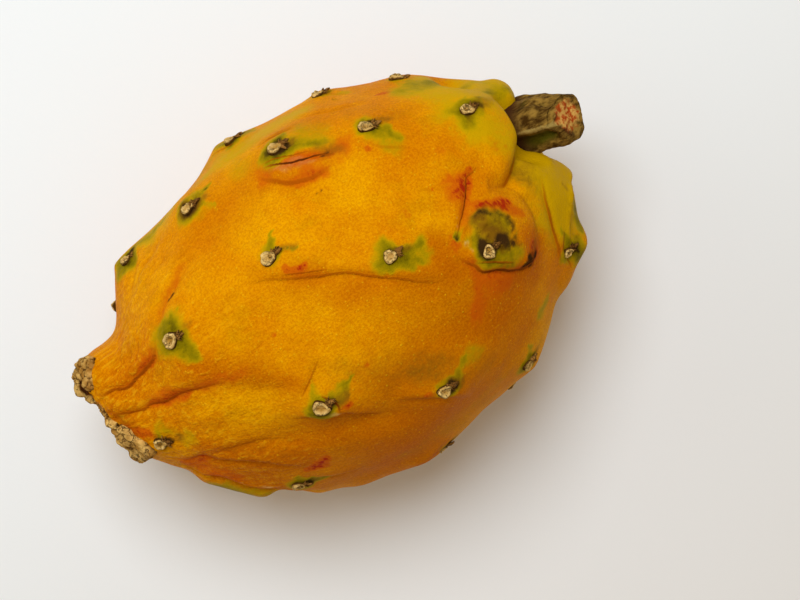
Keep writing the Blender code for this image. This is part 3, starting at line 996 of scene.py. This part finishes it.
def mark_and_shade_cushions(skin, places):
    for number, (index, _, length, _, dark) in enumerate(places):
        ahead = local_axes(skin, index, 0)[0]
        centre = skin.points[index]
        # Painted shade round each cushion: dark under its scale on the stem side and round its middle, and
        # brown beyond the scale
        near, far = centre + ahead * length * 0.5, centre + ahead * length * 0.85
        skin.lay_stain_and_shade("dark", near, far, 0.7, 0.95 * dark)
        skin.lay_stain_and_shade("dark", centre, centre, length * 0.47, 0.5)
        near, far = centre + ahead * length * 0.4, centre + ahead * (1.6 + length)
        skin.lay_stain_and_shade("brown", near, far, 0.95, 0.6 * dark)
        if number >= len(CUSHIONS):
            for heading in (WING_SPREAD, -WING_SPREAD):
                size = rng.uniform(0.7, 1.25)
                wing = local_axes(skin, index, heading + rng.uniform(-15, 15))[0]
                tip = centre + wing * WING_LENGTH * size
                skin.lay_stain_and_shade("green", centre, tip, WING_WIDTH * size, 0.95, True)
    # The listed wings; the dark and brown ones are painted shade of the cushion and its scale
    for kind, text in WINGS.items():
        for number, heading, length, width, strength in rows_of(text, 5):
            index = places[int(number)][0]
            centre = skin.points[index]
            end = centre + local_axes(skin, index, heading)[0] * length
            skin.lay_stain_and_shade(kind, centre, end, width, strength, True)


def add_mesh(store, points, faces, tone, hollow):
    offset = sum(len(p) for p in store["points"])
    store["points"].append(points)
    store["faces"] += [tuple(v + offset for v in f) for f in faces]
    store["tone"].append(np.broadcast_to(tone, len(points)))
    store["hollow"].append(np.broadcast_to(hollow, len(points)))


def empty_store():
    return {"points": [], "faces": [], "tone": [], "hollow": []}


def finish_store(store, name, material, node=None):
    """Make one piece of all the meshes in a store, with nothing of it below the floor."""
    points = np.vstack(store["points"])
    points[:, 2] = np.maximum(points[:, 2], LOWEST)
    attributes = {k: np.concatenate(store[k]) for k in ("tone", "hollow")}
    new_piece(name, points, store["faces"], material, attributes, node)


def make_cushions(skin, places, material):
    """Corky pads: an oval dish with a raised, uneven rim, steepest on the side of the flower end."""
    store = empty_store()
    rings, around = 12, 40
    ring, angle = polar_grid(rings, around)
    faces = grid_faces(rings, around)
    for index, turn, length, width, _ in places:
        ahead, left, out = local_axes(skin, index, turn)
        seed = rng.uniform(0, 50)
        circle = np.stack([np.cos(angle), np.sin(angle), angle * 0], axis=1)
        ragged = 1.02 + 0.16 * noise(circle + seed, 0.9) + 0.09 * noise(circle + seed, 0.35, 1)
        u = ring * np.cos(angle) * ragged * length / 2
        v = ring * np.sin(angle) * ragged * width / 2 * (1 - 0.28 * np.cos(angle))
        behind = 0.5 - 0.5 * np.cos(angle)
        height = 0.30 + (0.22 + 0.38 * behind) * bell((ring - 0.66) / 0.22) - 0.08 * bell(ring / 0.3)
        flat = np.stack([u, v, ring * 0], axis=1)
        height = height + 0.26 * noise(flat + seed, 0.7) + 0.13 * noise(flat + seed, 0.32, 1)
        height = np.where(ring > 0.96, -0.35, height)
        height[-1] = -0.35
        u[-1] = v[-1] = 0
        points = skin.points[index] + u[:, None] * ahead + v[:, None] * left + height[:, None] * out
        # Lighter where the pad stands proud, which is painted light; the hollow darkens its dish and the
        # rim where it meets the skin, which is painted shade
        tone = np.clip(0.45 + 1.5 * (height - 0.4) + 0.35 * noise(flat + seed, 0.6, 2), 0, 1)
        hollow = np.clip(bell(ring / 0.4) * 0.22 * (1.2 - behind) + step(ring, 0.84, 0.96), 0, 1)
        add_mesh(store, points, faces, tone, hollow)
    finish_store(store, "spine_cushions", material)


def make_scales(skin, places, material):
    """Dry scales: a curled brown wedge on the stem side of each cushion, with a few thin shards."""
    store = empty_store()
    for index, _, length, _, dark in places:
        ahead, left, out = local_axes(skin, index, 0)
        root = skin.points[index] + ahead * length * 0.36
        # Heading, reach, half width and lift: first the scale, then the shards
        shards = [(rng.uniform(-15, 15), 1.9, 0.62, 0.30)]
        limits = ((-75, 75), (0.8, 1.9), (0.10, 0.22), (0.1, 0.4))
        shards += [[rng.uniform(*limit) for limit in limits] for _ in range(6)]
        for heading, reach, wide, lift in shards[: 7 if dark > 0.65 else 5]:
            heading, reach = math.radians(heading), reach * (0.6 + 0.4 * dark)
            d = math.cos(heading) * ahead + math.sin(heading) * left
            side = np.cross(out, d)
            start = root + side * rng.uniform(-0.35, 0.35)
            t = np.linspace(0, 1, 7)
            uneven = noise(np.outer(t * 9, (1, 1, 1)) + reach * 50, 1)
            height = 0.12 + lift * np.sin(t * 2.6) + 0.05 * uneven
            middle = start + np.outer(t * reach, d) + np.outer(height, out)
            uneven = noise(np.outer(t * 7, (1, 1, 1)) + wide * 90, 1)
            half = wide * (1 - t**1.6) * (1 + 0.25 * uneven) + 0.03
            half, bend = np.outer(half, side), np.outer(half * 0.45, out)
            rim = [middle - half - bend, middle + out * 0.06, middle + half - bend]
            under = [m - out * SCALE_THICKNESS for m in rim]
            points = np.vstack(rim + under)
            n = len(t)
            strips = ((0, 1), (1, 2), (5, 4), (4, 3), (3, 0), (2, 5))
            faces = [
                (a * n + i, b * n + i, b * n + i + 1, a * n + i + 1)
                for i in range(n - 1) for a, b in strips
            ]
            faces += [(0, 3 * n, 4 * n, n), (n, 4 * n, 5 * n, 2 * n)]
            faces += [(n - 1, 2 * n - 1, 5 * n - 1, 4 * n - 1)]
            faces += [(2 * n - 1, 3 * n - 1, 6 * n - 1, 5 * n - 1)]
            add_mesh(store, points, faces, rng.uniform(0.2, 0.9), rng.uniform(0.0, 0.55))
    finish_store(store, "dry_scales", material)


CRUST_REACH, CRUST_SCALLOP = 0.11, 0.2
# How much further it reaches, at which turn in degrees, and over what width
CRUST_SPREADS = [(0.016, 46, 18), (0.032, -18, 24), (0.006, -52, 14), (-0.006, 14, 12)]
CRUST_LUMPS = 520


def turned_from(turn, centre):
    """Degrees from a centre, between -180 and 180."""
    return (turn - centre + 180) % 360 - 180


def crust_reach(angle):
    """How far the crust spreads: further over the knob and the near side of the rim."""
    turn = np.degrees(angle)
    reach = CRUST_REACH * (1 - CRUST_SCALLOP * np.cos(4 * angle))
    for more, centre, width in CRUST_SPREADS:
        reach = reach + more * bell(turned_from(turn, centre) / width)
    return reach


def make_crust(skin, material):
    """A corky sheet over the flower end, heaped with merging lumps, with painted shade in the crevices
    between them.
    """
    store = empty_store()
    rings, around = 80, 300
    ring, angle = polar_grid(rings, around)
    reach = crust_reach(angle) * (1 + 0.05 * np.sin(9 * angle + 1) + 0.05 * np.sin(17 * angle))
    faces = [f[::-1] for f in grid_faces(rings, around)]
    _, out = bumpy_skin(ring * reach * 0.97, angle)
    base = skin.at(ring * reach * 0.97, angle)

    spot = rng.uniform(0, 2 * math.pi, 4 * CRUST_LUMPS)
    spot = spot[rng.uniform(0, 0.16, len(spot)) ** 2 < crust_reach(spot) ** 2][:CRUST_LUMPS]
    count = len(spot)
    centre = skin.at(np.sqrt(rng.uniform(0, 1, count)) * crust_reach(spot) * 0.96, spot)
    size = 0.5 + 0.85 * rng.uniform(0, 1, count) ** 2
    shade = rng.uniform(0.1, 1.0, count)
    bent = base + 0.35 * np.stack([noise(base, 0.8, k) for k in (0, 1, 2)], axis=1)
    height = 0.02 - 0.7 * step(ring, 0.8, 0.93)
    # Gaps between the lumps keep a dark tone, painted shade there; each lump takes its own tone
    tone = np.full(len(base), 0.1)
    for c, r, shading in zip(centre, size, shade):
        distance = np.linalg.norm(bent - c, axis=1)
        dome = 0.25 + 0.95 * r * np.sqrt(np.maximum(1 - (distance / r) ** 2, 0)) - 2 * (distance > r)
        tone = np.where(dome > height, shading, tone)
        height = np.maximum(height, dome)
    edge = step(ring, 1.0, 0.95)
    # Painted shade in the crevices: the lower the surface, the darker
    hollow = np.clip(1.3 - 1.7 * height, 0, 1)
    height = height * edge + 0.15 * noise(base, 0.5, 3) * edge - 0.5 * (1 - edge)
    points = base + out * (0.15 + height)[:, None]
    points[-1] = points[0] + (2.5, 0, 0)
    tone = np.clip(tone + 0.3 * noise(base, 0.6, 4), 0, 1)
    add_mesh(store, points, faces, tone, hollow)
    finish_store(store, "flower_crust", material, "flower_remnant")


STEM_ROOT = smooth_skin(np.array(1.0), np.array(0.0)) + (-1.6, 6.1, 0.7)
STEM_LENGTH, STEM_WIDTH, STEM_TAPER, STEM_CORNERS = 18.2, 10.6, 0.22, 0.08
STEM_TURN, STEM_RISE = -22.0, 20.0
STEM_BEVEL = 0.5  # slope of the cut, back towards the top


def make_stem(material):
    """A woody stub: bark drawn into ridges, one hollow green side, and a ragged fibrous cut."""
    rings, cap, around = 64, 16, 96
    t = np.concatenate([np.linspace(0, 1, rings), np.ones(cap)])
    inward = np.concatenate([np.ones(rings), np.linspace(1, 0, cap + 1)[1:-1], [0.02]])
    angle = np.linspace(0, 2 * math.pi, around, endpoint=False)
    inward = np.repeat(inward, around)
    t, a = (grid.ravel() for grid in np.meshgrid(t, angle, indexing="ij"))
    turn = np.degrees(a)

    radius = STEM_WIDTH / 2 * (1 - STEM_TAPER * t**4 + STEM_CORNERS * np.cos(3 * a))
    on_side = np.stack([t * 18, 4.6 * np.cos(a), 4.6 * np.sin(a)], axis=1)
    radius = radius + 0.40 * noise(on_side * (0.4, 1, 1), 1.5, 1)
    radius = radius + 0.20 * noise(on_side * (0.6, 1, 1), 0.7, 2)
    radius = radius + 0.5 * noise(on_side, 3.4, 3)
    hollow = bell(turned_from(turn, -46) / 26) * step(t, 0.32, 0.6) * step(t, 1.0, 0.84)
    radius = radius - 1.5 * hollow
    ridge = bell(turned_from(turn, -14) / 7) * step(t, 0.45, 0.6)
    radius = radius + 0.45 * ridge + 0.3 * bell(turned_from(turn, -78) / 12)
    rounding = step(inward, 1.0, 0.82)
    along = t * STEM_LENGTH
    face = np.stack([radius * inward * np.cos(a), radius * inward * np.sin(a)], axis=1)
    rough = noise(np.column_stack([face, face[:, 0] * 0]), 1.3, 4)
    along = along + rounding * (0.25 + 0.45 * rough - 0.5 * bell(inward / 0.6))
    along = along - 0.5 * (1 - rounding) * step(t, 0.985, 1)
    along = along - STEM_BEVEL * face[:, 0] * step(t, 0.7, 1)
    local = np.stack([along, face[:, 1], face[:, 0]], axis=1)
    rise = Matrix.Rotation(math.radians(-STEM_RISE), 3, "Y")
    turned = Matrix.Rotation(math.radians(STEM_TURN), 3, "Z") @ rise
    points = local @ np.array(turned).T + STEM_ROOT

    cut_rim = rounding * bell(turned_from(turn, -60) / 45) * step(inward, 0.4, 0.9)
    attributes = {
        "green": hollow,
        # Painted shade towards the root, down in the pit, and dark along one side of the cut's rim
        "dark": np.clip(step(t, 0.74, 0.42) * 0.85 + cut_rim * 0.8, 0, 1),
        "pale": ridge * 0.8 + 0.4 * rounding * bell((inward - 0.8) / 0.12),
        "cut": rounding * bell(np.hypot(face[:, 0] - 0.6, face[:, 1] - 0.4) / 3.4),
    }
    faces = grid_faces(rings + cap, around)
    points = np.vstack([points[:around].mean(0), points, points[-around:].mean(0)])
    attributes = {k: np.concatenate([[v[0]], v, [v[-1]]]) for k, v in attributes.items()}
    new_piece("stem", points, faces, material, attributes, "stem")


# The stage, in metres. The camera looks straight down, and the key light is beyond the fruit.
FLOOR_SIZE, FLOOR_DROP = 6, 0.00005
# Place, size, power and colour of each light
KEY = (0.05, 0.26, 0.7), 0.46, 3.8, (0.98, 1.03, 1.12)
FILL = (-0.42, 0.4, 0.34), 0.5, 0.5, (1, 0.97, 0.92)
WORLD_COLOUR, WORLD_STRENGTH = (1.0, 0.87, 0.66, 1), 0.36
CAMERA_PLACE, CAMERA_TURN, CAMERA_LENS = (0.0083, -0.0078, 0.42), -34, 96.3


def make_stage():
    bpy.ops.mesh.primitive_plane_add(size=FLOOR_SIZE, location=(0, 0, -FLOOR_DROP))
    floor = bpy.context.object
    floor.name = "floor"
    floor.data.materials.append(floor_material())
    floor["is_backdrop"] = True

    world = bpy.data.worlds.new("soft_white")
    world.use_nodes = True
    background = world.node_tree.nodes["Background"]
    background.inputs["Color"].default_value = WORLD_COLOUR
    background.inputs["Strength"].default_value = WORLD_STRENGTH
    bpy.context.scene.world = world

    def area(name, place, size, power, colour):
        light = bpy.data.lights.new(name, "AREA")
        light.energy = power
        light.shape = "DISK"
        light.size = size
        light.color = colour
        made = bpy.data.objects.new(name, light)
        made.location = place
        made.rotation_euler = Vector(place).to_track_quat("Z", "Y").to_euler()
        bpy.context.scene.collection.objects.link(made)

    area("key", *KEY)
    area("fill", *FILL)

    camera = bpy.data.cameras.new("camera")
    camera.lens = CAMERA_LENS
    camera.sensor_width = 36
    made = bpy.data.objects.new("camera", camera)
    made.location = CAMERA_PLACE
    made.rotation_euler = (0, 0, math.radians(CAMERA_TURN))
    bpy.context.scene.collection.objects.link(made)
    bpy.context.scene.camera = made
    bpy.context.scene.view_settings.view_transform = "Standard"


skin = Skin()
skin.shape()
places = cushion_places(skin)
for kind, text in STAINS_AND_SHADE.items():
    for *ends, radius, strength in rows_of(text, 8):
        skin.lay_stain_and_shade(kind, ends[:3], ends[3:], radius, strength)
mark_and_shade_cushions(skin, places)
green_end = step(skin.along, 0.76, 0.92) * 0.7
skin.stains_and_shade["lime"] = np.clip(skin.stains_and_shade["lime"] + green_end, 0, 1)

attributes = dict(skin.stains_and_shade)
attributes["strands"] = 0.1 + 0.9 * step(skin.along, 0.55, 0.12)
for group, (gap, width, dark) in skin.lines.items():
    attributes[f"line_{group}"] = gap
    attributes[f"line_{group}_width"] = width
    attributes[f"line_{group}_dark"] = dark
new_piece("skin", skin.points, skin.faces, skin_material(), attributes, "fruit_body")

# Light and dark tones, the deep tone of cracks and of the painted shade in crevices, and the size of the
# cracks
CORK = (0.90, 0.62, 0.22), (0.44, 0.23, 0.035), (0.09, 0.035, 0.004), 0.7
SCALE = (0.50, 0.24, 0.05), (0.15, 0.055, 0.008), (0.04, 0.013, 0.002), 0.5
CRUST = (0.84, 0.53, 0.15), (0.34, 0.145, 0.016), (0.07, 0.018, 0.002), 1.5
make_cushions(skin, places, cork_material("cushion_cork", *CORK))
make_scales(skin, places, cork_material("scale_brown", *SCALE))
make_crust(skin, cork_material("flower_cork", *CRUST))
make_stem(bark_material())
make_stage()

boxes = {"cad": cad_box, "visual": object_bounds()}
boxes = {name: [list(map(float, corner)) for corner in box] for name, box in boxes.items()}
